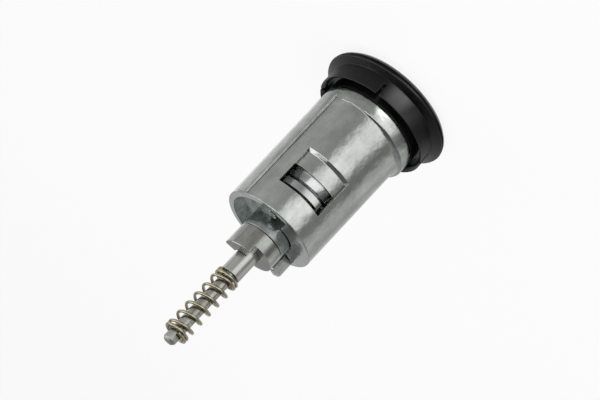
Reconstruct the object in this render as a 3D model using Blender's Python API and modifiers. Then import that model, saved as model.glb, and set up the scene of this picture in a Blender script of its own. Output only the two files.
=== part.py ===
# Ignition lock cylinder standing on its bezel, key slot down, push rod up.
# The lock axis is Z and the bezel's front face lies at z = 0.
import math

import bmesh
import bpy
from mathutils import Matrix

MM = 0.001

# Clearances and the wall that everything seats against
SEAT_GAP = 0.3 * MM
RUNNING_GAP = 0.2 * MM
BEZEL_WALL = 1.7 * MM

# Levels along the lock axis, each counted from the one before
WAFER_COUNT = 6
WAFER_FIRST = 11.5 * MM
WAFER_PITCH = 3.2 * MM
LAND_FRONT = WAFER_FIRST + (WAFER_COUNT - 1) * WAFER_PITCH + 3.0 * MM
WINDOW_FRONT = LAND_FRONT + 2.97 * MM
WINDOW_LENGTH = 6.03 * MM
WINDOW_REAR = WINDOW_FRONT + WINDOW_LENGTH
WEB_FRONT = WINDOW_REAR + 1.5 * MM
WEB_THICKNESS = 1.6 * MM
WEB_REAR = WEB_FRONT + WEB_THICKNESS
REAR_BORE_DEPTH = 3.7 * MM
HOUSING_REAR = WEB_REAR + REAR_BORE_DEPTH
HUB_LENGTH = 6.8 * MM
HUB_REAR = WEB_REAR + HUB_LENGTH

# Barrel housing, measured at its rear and wider towards the collar
BARREL_RADIUS = 12.15 * MM
BARREL_DRAFT = 0.35 * MM
BARREL_FRONT_RADIUS = BARREL_RADIUS + BARREL_DRAFT
BARREL_OFFSET = 0.62 * MM
HOUSING_FRONT = BEZEL_WALL + SEAT_GAP
NECK_RADIUS = BARREL_RADIUS - 0.1 * MM
COLLAR_RADIUS = NECK_RADIUS + 1.07 * MM
COLLAR_FRONT = 9.9 * MM
COLLAR_WIDTH = 3.1 * MM
COLLAR_REAR = COLLAR_FRONT + COLLAR_WIDTH
FILLET_HEIGHT = 2.8 * MM
MAIN_BORE_RADIUS = BARREL_RADIUS - 2.6 * MM
WEB_BORE_RADIUS = 5.0 * MM
REAR_BORE_RADIUS = BARREL_RADIUS - 1.45 * MM
REAR_BORE_OFFSET = 0.45 * MM
SECTOR_INNER_RADIUS = 6.3 * MM
SECTOR_FROM = math.radians(-122)
SECTOR_TO = math.radians(-12)
RIB_FROM = math.radians(51.5)
RIB_TO = math.radians(67.5)
RIB_HEIGHT = 0.45 * MM

# Window in the barrel and the shallow pocket in front of it
WINDOW_LOW_X = -5.6 * MM
WINDOW_HIGH_X = 6.6 * MM
WINDOW_UNDERCUT = 0.45
POCKET_LENGTH = 5.0 * MM
POCKET_FRONT = WINDOW_FRONT - POCKET_LENGTH
POCKET_DEPTH = 0.75 * MM

# Blade that rises behind the barrel
BLADE_ANGLE = math.radians(-128.5)
BLADE_INNER = SECTOR_INNER_RADIUS + 1.2 * MM
BLADE_OUTER = REAR_BORE_RADIUS
BLADE_CROWN = 0.28 * (BLADE_OUTER - BLADE_INNER)
BLADE_THICKNESS = 1.5 * MM
BLADE_RISE = 4.9 * MM
BLADE_TOP = HOUSING_REAR + BLADE_RISE

# Bezel
RECESS_INNER = NECK_RADIUS + 1.0 * MM
RECESS_WIDTH = 1.15 * MM
RECESS_OUTER = RECESS_INNER + RECESS_WIDTH
RECESS_FLOOR = 6.4 * MM
SKIRT_WALL = 1.25 * MM
SKIRT_RADIUS = RECESS_OUTER + SKIRT_WALL
FLANGE_LIP = 2.05 * MM
FLANGE_RADIUS = SKIRT_RADIUS + FLANGE_LIP
FLANGE_REAR = 3.44 * MM
DOME_HEIGHT = 3.0 * MM
DOME_INNER = FLANGE_RADIUS - 5.5 * MM
SKIRT_FOOT = FLANGE_REAR + 0.76 * MM
SKIRT_TOP = COLLAR_FRONT - 1.0 * MM
FUNNEL_WIDTH = 0.45 * MM
SLIT_COUNT = 4
SLIT_ANGLE = math.radians(14.2)
SLIT_WIDTH = 0.75 * MM
SLIT_FLOOR = FLANGE_REAR + 2.06 * MM

# Rotor and the cap on its face
CAP_WALL = 0.4 * MM
CAP_FACE = 0.5 * MM
CAP_FRONT = BEZEL_WALL + SEAT_GAP
LAND_RADIUS = MAIN_BORE_RADIUS - RUNNING_GAP
BODY_RADIUS = LAND_RADIUS - 0.75 * MM
OPENING_RADIUS = LAND_RADIUS - 0.95 * MM
OPENING_MOUTH = OPENING_RADIUS + 1.8 * MM
ROTOR_FRONT = CAP_FRONT + CAP_FACE + SEAT_GAP
CAP_DEPTH = 2.2 * MM
FRONT_LAND = ROTOR_FRONT + CAP_DEPTH
FRONT_LAND_WIDTH = 1.9 * MM
CAP_REAR = FRONT_LAND - SEAT_GAP
ROTOR_BORE_RADIUS = 3.3 * MM
BORE_FRONT = LAND_FRONT + 0.2 * MM
FACET_COUNT = 12
FACET_TURN = math.radians(2.5)
FACET_TILT = math.radians(20)
FACET_FRONT = WINDOW_FRONT - 1.4 * MM
FACET_REAR = WINDOW_FRONT + 1.18 * MM
NOTCH_REAR = FACET_REAR + 1.2 * MM
NOTCH_RADIUS = LAND_RADIUS - 1.45 * MM
REAR_GROOVE_WIDTH = 0.95 * MM
REAR_GROOVE_FRONT = WINDOW_REAR - 0.9 * MM - REAR_GROOVE_WIDTH
GROOVE_ANGLES = (math.radians(42), math.radians(-30.5))
GROOVE_WIDTH = 0.8 * MM
GROOVE_DEPTH = 1.2 * MM
HUB_RADIUS = 4.6 * MM
HUB_FLAT = HUB_RADIUS - 0.4 * MM
SPIGOT_RADIUS = HUB_RADIUS - 0.4 * MM
SPIGOT_FLAT = SPIGOT_RADIUS - 0.3 * MM
KEY_SLOT_LENGTH = 9.5 * MM
KEY_SLOT_WIDTH = 2.6 * MM

# Shutter behind the key slot
SHUTTER_POCKET = ROTOR_FRONT + 6.2 * MM
SHUTTER_POCKET_LOW_Y = -2.1 * MM
SHUTTER_PIN_Y = 3.3 * MM
SHUTTER_PIN_Z = ROTOR_FRONT + 0.9 * MM
SHUTTER_PIN_RADIUS = 0.45 * MM
KNUCKLE_RADIUS = 0.88 * MM
SHUTTER_THICKNESS = 0.5 * MM
SHUTTER_HALF = 4.55 * MM
SHUTTER_REACH = 4.9 * MM
SHUTTER_EAR = 2.6 * MM
SHUTTER_PIN_LENGTH = 2 * SHUTTER_HALF + 3.0 * MM
SHUTTER_COIL_RADIUS = 0.75 * MM
SHUTTER_COIL_TURNS = 4
SHUTTER_WIRE = 0.14 * MM

# Wafers and the springs that push them out
WAFER_THICKNESS = 0.9 * MM
WAFER_WIDTH = 6.2 * MM
WAFER_OUT = LAND_RADIUS - 0.1 * MM
WAFER_BACK = LAND_RADIUS - 1.05 * MM
WAFER_GAP = 0.3 * MM
WAFER_WINDOW_LENGTH = KEY_SLOT_LENGTH + 1.1 * MM
WAFER_WINDOW_WIDTH = KEY_SLOT_WIDTH + 0.6 * MM
TAB_WIDTH = 1.5 * MM
TAB_FROM = 1.2 * MM
TAB_TO = 2.4 * MM
SPRING_BACK = 3.3 * MM
WAFER_COIL_RADIUS = 0.55 * MM
WAFER_COIL_TURNS = 4
WAFER_WIRE = 0.1 * MM

# Stop cam and stop pin
CAM_RADIUS = SECTOR_INNER_RADIUS - 0.4 * MM
ARM_RADIUS = REAR_BORE_RADIUS - 0.7 * MM
ARM_FROM = math.radians(24)
ARM_TO = math.radians(52)
ARM_THICKNESS = 2.3 * MM
STOP_PIN_RADIUS = 0.85 * MM
STOP_PIN_ANGLE = math.radians(12.5)
STOP_PIN_DISTANCE = REAR_BORE_RADIUS - 1.53 * MM
STOP_PIN_DEPTH = 1.1 * MM
STOP_PIN_TOP = HOUSING_REAR

# Tail driver
DRIVER_RADIUS = 5.95 * MM
DRIVER_LENGTH = 3.6 * MM
DRIVER_FRONT = HUB_REAR + SEAT_GAP
DRIVER_REAR = DRIVER_FRONT + DRIVER_LENGTH
DRIVER_PLATE = 1.0 * MM
SPIGOT_REAR = DRIVER_REAR - DRIVER_PLATE - SEAT_GAP
STEP_HEIGHT = 2.2 * MM
STEP_REAR = DRIVER_REAR + STEP_HEIGHT
STEP_FROM = math.radians(4)
STEP_TO = math.radians(92)
CROSS_PIN_RADIUS = 0.6 * MM
CROSS_PIN_Z = DRIVER_FRONT + 1.2 * MM
CROSS_PIN_INNER = ROTOR_BORE_RADIUS + 0.25 * MM
CROSS_PIN_OUTER = DRIVER_RADIUS - 0.2 * MM

# Push rod and its spring
ROD_FRONT = BORE_FRONT + SEAT_GAP
ROD_HEAD_RADIUS = ROTOR_BORE_RADIUS - 0.15 * MM
ROD_HEAD_LENGTH = 2.0 * MM
ROD_RADIUS = 2.6 * MM
ROD_STAND = 5.25 * MM
ROD_SHOULDER = STEP_REAR + ROD_STAND
ROD_THIN_RADIUS = 1.62 * MM
ROD_THIN_LENGTH = 21.15 * MM
ROD_TIP = ROD_SHOULDER + ROD_THIN_LENGTH
ROD_HOLE_RADIUS = ROD_RADIUS + 0.1 * MM
SPRING_RADIUS = 2.8 * MM
SPRING_WIRE = 0.37 * MM
SPRING_PITCH = 2.9 * MM
SPRING_START = math.radians(63)
SPRING_CLOSED_PITCH = 0.8 * MM
SPRING_TOP = ROD_TIP - 2.0 * MM

ROUND_STEPS = 60
TURNED_STEPS = 48
SMALL_STEPS = 32
OVERCUT = 1.0 * MM


def clear_scene():
    for item in list(bpy.data.objects):
        bpy.data.objects.remove(item, do_unlink=True)


def new_collection(name):
    collection = bpy.data.collections.new(name)
    bpy.context.scene.collection.children.link(collection)
    return collection


def new_material(name, colour, roughness, metallic):
    material = bpy.data.materials.new(name)
    material.use_nodes = True
    shader = material.node_tree.nodes["Principled BSDF"]
    shader.inputs["Base Color"].default_value = (*colour, 1.0)
    shader.inputs["Roughness"].default_value = roughness
    shader.inputs["Metallic"].default_value = metallic
    return material


def add_object(name, data, material=None):
    item = bpy.data.objects.new(name, data)
    if material is None:
        cutters.objects.link(item)
        item.hide_render = True
        item.display_type = "WIRE"
    else:
        parts.objects.link(item)
        item.data.materials.append(material)
    return item


def parent_to(item, parent):
    item.parent = parent
    item.matrix_parent_inverse = parent.matrix_world.inverted()


def on_circle(radius, angle):
    """Point at an angle from the -Y side, counted towards +X."""
    return (radius * math.sin(angle), -radius * math.cos(angle))


def arc(radius, start, end, count, centre_x=0.0):
    points = []
    for i in range(count + 1):
        x, y = on_circle(radius, start + (end - start) * i / count)
        points.append((x + centre_x, y))
    return points


def turned(name, profile, material=None, ring=False, steps=ROUND_STEPS, centre_x=0.0):
    """Body of revolution: the profile (radius, height) runs down its outer side."""
    mesh = bpy.data.meshes.new(name)
    points = [(radius, 0.0, height) for radius, height in profile]
    edges = [(i, i + 1) for i in range(len(points) - 1)]
    if ring:
        edges.append((len(points) - 1, 0))
    mesh.from_pydata(points, edges, [])
    item = add_object(name, mesh, material)
    item.location.x = centre_x
    screw = item.modifiers.new("Turn", "SCREW")
    screw.axis = "Z"
    screw.angle = 2 * math.pi
    screw.steps = steps
    screw.render_steps = steps
    screw.use_merge_vertices = True
    screw.merge_threshold = 0.00001
    screw.use_smooth_shade = True
    return item


def box(name, low, high, material=None, turn=0.0):
    mesh = bpy.data.meshes.new(name)
    shape = bmesh.new()
    size = [b - a for a, b in zip(low, high)]
    centre = [(a + b) / 2 for a, b in zip(low, high)]
    place = Matrix.Translation(centre) @ Matrix.Diagonal((*size, 1.0))
    bmesh.ops.create_cube(shape, size=1.0, matrix=place)
    shape.to_mesh(mesh)
    shape.free()
    item = add_object(name, mesh, material)
    item.rotation_euler.z = turn
    return item


def rod_shape(name, radius, length, matrix, material=None, steps=SMALL_STEPS):
    """Cylinder whose own Z axis and centre are given by the matrix."""
    mesh = bpy.data.meshes.new(name)
    shape = bmesh.new()
    bmesh.ops.create_cone(
        shape,
        cap_ends=True,
        segments=steps,
        radius1=radius,
        radius2=radius,
        depth=length,
    )
    shape.to_mesh(mesh)
    shape.free()
    item = add_object(name, mesh, material)
    item.matrix_world = matrix
    return item


def to_mesh(curve_item, material):
    """Turns a curve object into a mesh object with welded caps."""
    bpy.context.view_layer.update()
    graph = bpy.context.evaluated_depsgraph_get()
    mesh = bpy.data.meshes.new_from_object(curve_item.evaluated_get(graph))
    shape = bmesh.new()
    shape.from_mesh(mesh)
    bmesh.ops.remove_doubles(shape, verts=shape.verts, dist=0.000001)
    bmesh.ops.recalc_face_normals(shape, faces=shape.faces)
    shape.to_mesh(mesh)
    shape.free()
    name = curve_item.name
    place = curve_item.matrix_world.copy()
    curve_item.name = name + "_outline"
    mesh.materials.clear()
    item = add_object(name, mesh, material)
    item.matrix_world = place
    bpy.data.objects.remove(curve_item, do_unlink=True)
    return item


def plate(name, outline, low, high, material=None, place=None):
    """Flat outline in XY, thickened from the low to the high level."""
    data = bpy.data.curves.new(name, "CURVE")
    data.dimensions = "2D"
    data.fill_mode = "BOTH"
    data.extrude = (high - low) / 2
    line = data.splines.new("POLY")
    line.points.add(len(outline) - 1)
    for point, (x, y) in zip(line.points, outline):
        point.co = (x, y, 0.0, 1.0)
    line.use_cyclic_u = True
    item = bpy.data.objects.new(name, data)
    bpy.context.scene.collection.objects.link(item)
    raised = Matrix.Translation((0.0, 0.0, (low + high) / 2))
    item.matrix_world = (place or Matrix.Identity(4)) @ raised
    return to_mesh(item, material)


def wire(name, points, radius, material, detail=2):
    data = bpy.data.curves.new(name, "CURVE")
    data.dimensions = "3D"
    data.bevel_depth = radius
    data.bevel_resolution = detail
    data.use_fill_caps = True
    line = data.splines.new("POLY")
    line.points.add(len(points) - 1)
    for point, place in zip(line.points, points):
        point.co = (*place, 1.0)
    return add_object(name, data, material)


def combine(item, other, operation):
    step = item.modifiers.new(other.name, "BOOLEAN")
    step.operation = operation
    step.solver = "EXACT"
    step.object = other


def cut(item, *others):
    for other in others:
        combine(item, other, "DIFFERENCE")


def join(item, *others):
    for other in others:
        combine(item, other, "UNION")


def double_d(radius, flat):
    """Round outline with two flats across X."""
    half = math.acos(flat / radius)
    upper = arc(radius, math.pi / 2 + half, 3 * math.pi / 2 - half, 10)
    lower = arc(radius, -math.pi / 2 + half, math.pi / 2 - half, 10)
    return lower + upper


def along_x(x, y, z):
    return Matrix.Translation((x, y, z)) @ Matrix.Rotation(math.pi / 2, 4, "Y")


def along_y(x, y, z):
    return Matrix.Translation((x, y, z)) @ Matrix.Rotation(math.pi / 2, 4, "X")


def barrel_radius_at(height):
    share = (HOUSING_REAR - height) / (HOUSING_REAR - COLLAR_FRONT - 1.5 * MM)
    return BARREL_RADIUS + BARREL_DRAFT * share


def make_housing():
    barrel = turned(
        "housing",
        [
            (0.0, HOUSING_REAR),
            (BARREL_RADIUS - 0.15 * MM, HOUSING_REAR),
            (BARREL_RADIUS, HOUSING_REAR - 0.15 * MM),
            (BARREL_FRONT_RADIUS, COLLAR_FRONT + 1.5 * MM),
            (0.0, COLLAR_FRONT + 1.5 * MM),
        ],
        zinc,
        centre_x=BARREL_OFFSET,
    )
    fillet_foot = BARREL_FRONT_RADIUS - BARREL_OFFSET - 0.3 * MM
    ridge = COLLAR_RADIUS - 0.12 * MM
    profile = [(0.0, COLLAR_REAR + FILLET_HEIGHT)]
    for i in range(7):
        t = i / 6
        rise = 0.3 * MM + (FILLET_HEIGHT - 0.3 * MM) * (1 - t) ** 2.3
        profile.append((fillet_foot + (ridge - fillet_foot) * t, COLLAR_REAR + rise))
    profile += [
        (COLLAR_RADIUS, COLLAR_REAR),
        (COLLAR_RADIUS, COLLAR_FRONT + 0.15 * MM),
        (COLLAR_RADIUS - 0.15 * MM, COLLAR_FRONT),
        (NECK_RADIUS, COLLAR_FRONT),
        (NECK_RADIUS, HOUSING_FRONT),
        (0.0, HOUSING_FRONT),
    ]
    join(barrel, turned("collar_form", profile))
    rib = turned(
        "rib_form",
        [
            (BARREL_RADIUS - OVERCUT, HOUSING_REAR - 0.3 * MM),
            (BARREL_RADIUS + RIB_HEIGHT, HOUSING_REAR - 0.3 * MM),
            (BARREL_FRONT_RADIUS + RIB_HEIGHT, COLLAR_REAR - OVERCUT / 2),
            (BARREL_RADIUS - OVERCUT, COLLAR_REAR - OVERCUT / 2),
        ],
        ring=True,
        centre_x=BARREL_OFFSET,
    )
    reach = BARREL_RADIUS + 2 * MM
    wedge = arc(reach, RIB_FROM, RIB_TO, 2, BARREL_OFFSET) + arc(4 * MM, RIB_TO, RIB_FROM, 1)
    combine(rib, plate("rib_sides", wedge, COLLAR_FRONT, HOUSING_REAR), "INTERSECT")
    join(barrel, rib)

    main_bore = turned(
        "main_bore_form",
        [
            (0.0, WEB_FRONT),
            (MAIN_BORE_RADIUS, WEB_FRONT),
            (MAIN_BORE_RADIUS, HOUSING_FRONT - OVERCUT),
            (0.0, HOUSING_FRONT - OVERCUT),
        ],
    )
    web_bore = rod_shape(
        "web_bore_form",
        WEB_BORE_RADIUS,
        WEB_THICKNESS + 2 * OVERCUT,
        Matrix.Translation((0.0, 0.0, (WEB_FRONT + WEB_REAR) / 2)),
    )
    outline = arc(REAR_BORE_RADIUS, SECTOR_TO, SECTOR_FROM + 2 * math.pi, 44, REAR_BORE_OFFSET)
    ramp = []
    for i in range(1, 7):
        t = i / 6
        angle = SECTOR_FROM + math.radians(26) * t
        reach = BLADE_OUTER - (BLADE_OUTER - SECTOR_INNER_RADIUS) * math.sin(t * math.pi / 2)
        ramp.append(on_circle(reach, angle))
    outline += ramp
    outline += arc(SECTOR_INNER_RADIUS, SECTOR_FROM + math.radians(32), SECTOR_TO, 8)
    rear_bore = plate("rear_bore_form", outline, WEB_REAR, HOUSING_REAR + OVERCUT)
    window = box(
        "window_form",
        (WINDOW_LOW_X, -BARREL_FRONT_RADIUS - OVERCUT, WINDOW_FRONT),
        (WINDOW_HIGH_X, -MAIN_BORE_RADIUS * 0.6, WINDOW_REAR),
    )
    floor = barrel_radius_at(POCKET_FRONT + POCKET_LENGTH / 2) - POCKET_DEPTH
    hidden = MAIN_BORE_RADIUS - 1.2 * MM
    rise = 2 * MM
    pocket = turned(
        "pocket_form",
        [
            (hidden, WINDOW_FRONT + 0.4 * MM),
            (floor + POCKET_DEPTH + rise, WINDOW_FRONT + 0.4 * MM),
            (floor + POCKET_DEPTH + rise, POCKET_FRONT - rise),
            (floor, POCKET_FRONT + POCKET_DEPTH),
            (floor, WINDOW_FRONT),
            (hidden, WINDOW_FRONT - WINDOW_UNDERCUT * (floor - hidden)),
        ],
        ring=True,
        centre_x=BARREL_OFFSET,
    )
    sides = box(
        "pocket_sides",
        (WINDOW_LOW_X, -BARREL_FRONT_RADIUS - 4 * MM, POCKET_FRONT - 3 * MM),
        (WINDOW_HIGH_X, -2 * MM, WINDOW_REAR - OVERCUT),
    )
    combine(pocket, sides, "INTERSECT")
    pin_place = (*on_circle(STOP_PIN_DISTANCE, STOP_PIN_ANGLE), WEB_REAR)
    pin_hole = rod_shape(
        "pin_hole_form",
        STOP_PIN_RADIUS + 0.03 * MM,
        2.4 * MM,
        Matrix.Translation(pin_place),
        steps=16,
    )
    cut(barrel, main_bore, web_bore, rear_bore, pin_hole, window, pocket)

    blade_outline = [
        (BLADE_INNER, WEB_REAR - OVERCUT / 2),
        (BLADE_OUTER, WEB_REAR - OVERCUT / 2),
    ]
    crown = BLADE_CROWN
    for i in range(5):
        turn = math.pi / 2 * i / 4
        blade_outline.append(
            (BLADE_OUTER - crown + crown * math.cos(turn), BLADE_TOP - crown + crown * math.sin(turn))
        )
    for i in range(5):
        turn = math.pi / 2 * (1 + i / 4)
        blade_outline.append(
            (BLADE_INNER + crown + crown * math.cos(turn), BLADE_TOP - crown + crown * math.sin(turn))
        )
    stand = Matrix.Rotation(BLADE_ANGLE - math.pi / 2, 4, "Z") @ Matrix.Rotation(math.pi / 2, 4, "X")
    blade = plate(
        "blade_form", blade_outline, -BLADE_THICKNESS / 2, BLADE_THICKNESS / 2, place=stand
    )
    join(barrel, blade)
    return barrel


def make_bezel():
    lip = 0.15 * MM
    sleeve_top = COLLAR_FRONT - SEAT_GAP
    inner = NECK_RADIUS + SEAT_GAP
    profile = [
        (SKIRT_RADIUS - lip, SKIRT_TOP),
        (SKIRT_RADIUS, SKIRT_TOP - lip),
        (SKIRT_RADIUS, SKIRT_FOOT),
        (FLANGE_RADIUS - 0.15 * MM, FLANGE_REAR),
    ]
    for i in range(6):
        turn = math.pi / 2 * i / 5
        profile.append(
            (
                DOME_INNER + (FLANGE_RADIUS - DOME_INNER) * math.cos(turn),
                DOME_HEIGHT * (1 - math.sin(turn)),
            )
        )
    profile += [
        (OPENING_MOUTH + 0.4 * MM, 0.0),
        (OPENING_MOUTH, 0.15 * MM),
        (OPENING_RADIUS, BEZEL_WALL - 0.4 * MM),
        (OPENING_RADIUS, BEZEL_WALL),
        (inner, BEZEL_WALL),
        (inner, sleeve_top),
        (RECESS_INNER, sleeve_top),
        (RECESS_INNER, RECESS_FLOOR),
        (RECESS_OUTER, RECESS_FLOOR),
        (RECESS_OUTER, SKIRT_TOP - 1.3 * MM),
        (RECESS_OUTER + FUNNEL_WIDTH, SKIRT_TOP - 0.55 * MM),
    ]
    bezel = turned("bezel", profile, black_plastic, ring=True)
    for i in range(SLIT_COUNT):
        slit = box(
            f"slit_form_{i + 1}",
            (-SLIT_WIDTH / 2, -SKIRT_RADIUS - OVERCUT, SLIT_FLOOR),
            (SLIT_WIDTH / 2, -RECESS_OUTER + 0.2 * MM, SKIRT_TOP + OVERCUT),
            turn=SLIT_ANGLE + i * 2 * math.pi / SLIT_COUNT,
        )
        cut(bezel, slit)
    return bezel


def make_rotor():
    rotor = turned(
        "rotor",
        [
            (0.0, WEB_FRONT - SEAT_GAP),
            (LAND_RADIUS - 0.2 * MM, WEB_FRONT - SEAT_GAP),
            (LAND_RADIUS, WEB_FRONT - SEAT_GAP - 0.2 * MM),
            (LAND_RADIUS, REAR_GROOVE_FRONT + REAR_GROOVE_WIDTH),
            (NOTCH_RADIUS, REAR_GROOVE_FRONT + REAR_GROOVE_WIDTH),
            (NOTCH_RADIUS, REAR_GROOVE_FRONT),
            (LAND_RADIUS, REAR_GROOVE_FRONT),
            (LAND_RADIUS, NOTCH_REAR),
            (NOTCH_RADIUS, NOTCH_REAR - 0.3 * MM),
            (NOTCH_RADIUS, FACET_FRONT - 0.5 * MM),
            (LAND_RADIUS, FACET_FRONT - 0.6 * MM),
            (LAND_RADIUS, LAND_FRONT),
            (BODY_RADIUS, LAND_FRONT),
            (BODY_RADIUS, FRONT_LAND + FRONT_LAND_WIDTH),
            (LAND_RADIUS, FRONT_LAND + FRONT_LAND_WIDTH),
            (LAND_RADIUS, FRONT_LAND),
            (BODY_RADIUS, FRONT_LAND),
            (BODY_RADIUS, ROTOR_FRONT),
            (0.0, ROTOR_FRONT),
        ],
        bright_zinc,
        steps=TURNED_STEPS,
    )
    step = 2 * math.pi / FACET_COUNT
    facet_mesh = bpy.data.meshes.new("facet_form")
    facet_shape = bmesh.new()
    bmesh.ops.create_cone(
        facet_shape,
        cap_ends=True,
        segments=FACET_COUNT,
        radius1=LAND_RADIUS,
        radius2=LAND_RADIUS - math.tan(FACET_TILT) * (FACET_REAR - FACET_FRONT),
        depth=FACET_REAR - FACET_FRONT,
    )
    facet_shape.to_mesh(facet_mesh)
    facet_shape.free()
    facets = add_object("facet_form", facet_mesh)
    facets.location.z = (FACET_FRONT + FACET_REAR) / 2
    facets.rotation_euler.z = FACET_TURN + step / 2
    join(rotor, facets)
    hub = plate("hub_form", double_d(HUB_RADIUS, HUB_FLAT), WEB_FRONT - OVERCUT, HUB_REAR)
    spigot = plate("spigot_form", double_d(SPIGOT_RADIUS, SPIGOT_FLAT), HUB_REAR - OVERCUT, SPIGOT_REAR)
    join(rotor, hub, spigot)
    length = SPIGOT_REAR + OVERCUT - BORE_FRONT
    bore = rod_shape(
        "rotor_bore_form",
        ROTOR_BORE_RADIUS,
        length,
        Matrix.Translation((0.0, 0.0, BORE_FRONT + length / 2)),
    )
    slot = box(
        "key_slot_form",
        (-KEY_SLOT_LENGTH / 2, -KEY_SLOT_WIDTH / 2, ROTOR_FRONT - OVERCUT),
        (KEY_SLOT_LENGTH / 2, KEY_SLOT_WIDTH / 2, BORE_FRONT + OVERCUT / 2),
    )
    pocket = box(
        "shutter_pocket_form",
        (-SHUTTER_HALF - 0.45 * MM, SHUTTER_POCKET_LOW_Y, ROTOR_FRONT - OVERCUT),
        (SHUTTER_HALF + 0.45 * MM, SHUTTER_PIN_Y + 1.2 * MM, SHUTTER_POCKET),
    )
    pin_hole = rod_shape(
        "shutter_pin_form",
        SHUTTER_PIN_RADIUS + 0.05 * MM,
        SHUTTER_PIN_LENGTH + 0.2 * MM,
        along_x(0.0, SHUTTER_PIN_Y, SHUTTER_PIN_Z),
        steps=12,
    )
    cross_hole = make_cross_hole("rotor_cross_form")
    cut(rotor, bore, slot, pocket, pin_hole, cross_hole)
    for i, angle in enumerate(GROOVE_ANGLES):
        groove = box(
            f"axial_groove_form_{i + 1}",
            (-GROOVE_WIDTH / 2, -LAND_RADIUS - OVERCUT, LAND_FRONT + OVERCUT),
            (GROOVE_WIDTH / 2, -LAND_RADIUS + GROOVE_DEPTH, WEB_FRONT),
            turn=angle,
        )
        cut(rotor, groove)
    for i in range(WAFER_COUNT):
        middle = WAFER_FIRST + i * WAFER_PITCH
        side = 1 if i % 2 == 0 else -1
        half_slot = WAFER_THICKNESS / 2 + WAFER_GAP
        half_width = WAFER_WIDTH / 2 + WAFER_GAP
        half_room = WAFER_COIL_RADIUS + WAFER_WIRE + WAFER_GAP
        wafer_slot = box(
            f"wafer_slot_form_{i + 1}",
            (-LAND_RADIUS - OVERCUT, -half_width, middle - half_slot),
            (LAND_RADIUS + OVERCUT, half_width, middle + half_slot),
        )
        spring_room = box(
            f"spring_room_form_{i + 1}",
            (-SPRING_BACK - 0.2 * MM, WAFER_WIDTH / 2 - OVERCUT, middle - half_room),
            (TAB_TO + 0.3 * MM, WAFER_WIDTH / 2 + TAB_WIDTH + 0.3 * MM, middle + half_room),
            turn=0.0 if side > 0 else math.pi,
        )
        cut(rotor, wafer_slot, spring_room)
    return rotor


def make_cross_hole(name):
    inner = ROTOR_BORE_RADIUS - 0.25 * MM
    outer = DRIVER_RADIUS + OVERCUT
    place = along_y(0.0, (inner + outer) / 2, CROSS_PIN_Z)
    return rod_shape(name, CROSS_PIN_RADIUS + 0.03 * MM, outer - inner, place, steps=16)


def make_cap():
    outer = LAND_RADIUS - 0.05 * MM
    cap = turned(
        "rotor_cap",
        [
            (outer - CAP_WALL, CAP_REAR),
            (outer, CAP_REAR),
            (outer, CAP_FRONT + 0.3 * MM),
            (outer - 0.3 * MM, CAP_FRONT),
            (0.0, CAP_FRONT),
            (0.0, CAP_FRONT + CAP_FACE),
            (outer - CAP_WALL, CAP_FRONT + CAP_FACE),
        ],
        steel,
        ring=True,
        steps=TURNED_STEPS,
    )
    slot = box(
        "cap_slot_form",
        (-KEY_SLOT_LENGTH / 2 - 0.1 * MM, -KEY_SLOT_WIDTH / 2 - 0.2 * MM, CAP_FRONT - OVERCUT),
        (KEY_SLOT_LENGTH / 2 + 0.1 * MM, KEY_SLOT_WIDTH / 2 + 0.2 * MM, ROTOR_FRONT),
    )
    cut(cap, slot)
    return cap


def make_shutter():
    low = ROTOR_FRONT
    high = low + SHUTTER_THICKNESS
    edge = SHUTTER_PIN_Y - SHUTTER_REACH
    fork = SHUTTER_PIN_Y - 1.3 * MM
    outline = [
        (-SHUTTER_HALF, edge),
        (SHUTTER_HALF, edge),
        (SHUTTER_HALF, SHUTTER_PIN_Y),
        (SHUTTER_EAR, SHUTTER_PIN_Y),
        (SHUTTER_EAR, fork),
        (-SHUTTER_EAR, fork),
        (-SHUTTER_EAR, SHUTTER_PIN_Y),
        (-SHUTTER_HALF, SHUTTER_PIN_Y),
    ]
    shutter = plate("shutter", outline, low, high, steel)
    for side in (-1, 1):
        knuckle = rod_shape(
            f"knuckle_form_{side + 2}",
            KNUCKLE_RADIUS,
            SHUTTER_HALF - SHUTTER_EAR,
            along_x(side * (SHUTTER_HALF + SHUTTER_EAR) / 2, SHUTTER_PIN_Y, SHUTTER_PIN_Z),
            steps=16,
        )
        join(shutter, knuckle)
    hole = rod_shape(
        "knuckle_hole_form",
        SHUTTER_PIN_RADIUS + 0.06 * MM,
        3 * SHUTTER_HALF,
        along_x(0.0, SHUTTER_PIN_Y, SHUTTER_PIN_Z),
        steps=16,
    )
    cut(shutter, hole)
    pin = rod_shape(
        "shutter_pin",
        SHUTTER_PIN_RADIUS,
        SHUTTER_PIN_LENGTH,
        along_x(0.0, SHUTTER_PIN_Y, SHUTTER_PIN_Z),
        steel,
        steps=16,
    )
    half_coil = SHUTTER_EAR - 1.0 * MM
    count = SHUTTER_COIL_TURNS * 6
    points = []
    for i in range(count + 1):
        turn = math.pi / 2 + 2 * math.pi * i / 6
        y = SHUTTER_PIN_Y - SHUTTER_COIL_RADIUS * math.cos(turn)
        z = SHUTTER_PIN_Z + SHUTTER_COIL_RADIUS * math.sin(turn)
        points.append((half_coil * (2 * i / count - 1), y, z))
    points.append((half_coil, SHUTTER_PIN_Y - 2.1 * MM, high + 0.45 * MM))
    points.append((half_coil, SHUTTER_PIN_Y - 3.9 * MM, high + 0.2 * MM))
    spring = wire("shutter_spring", points, SHUTTER_WIRE, spring_steel, detail=1)
    return shutter, pin, spring


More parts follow.
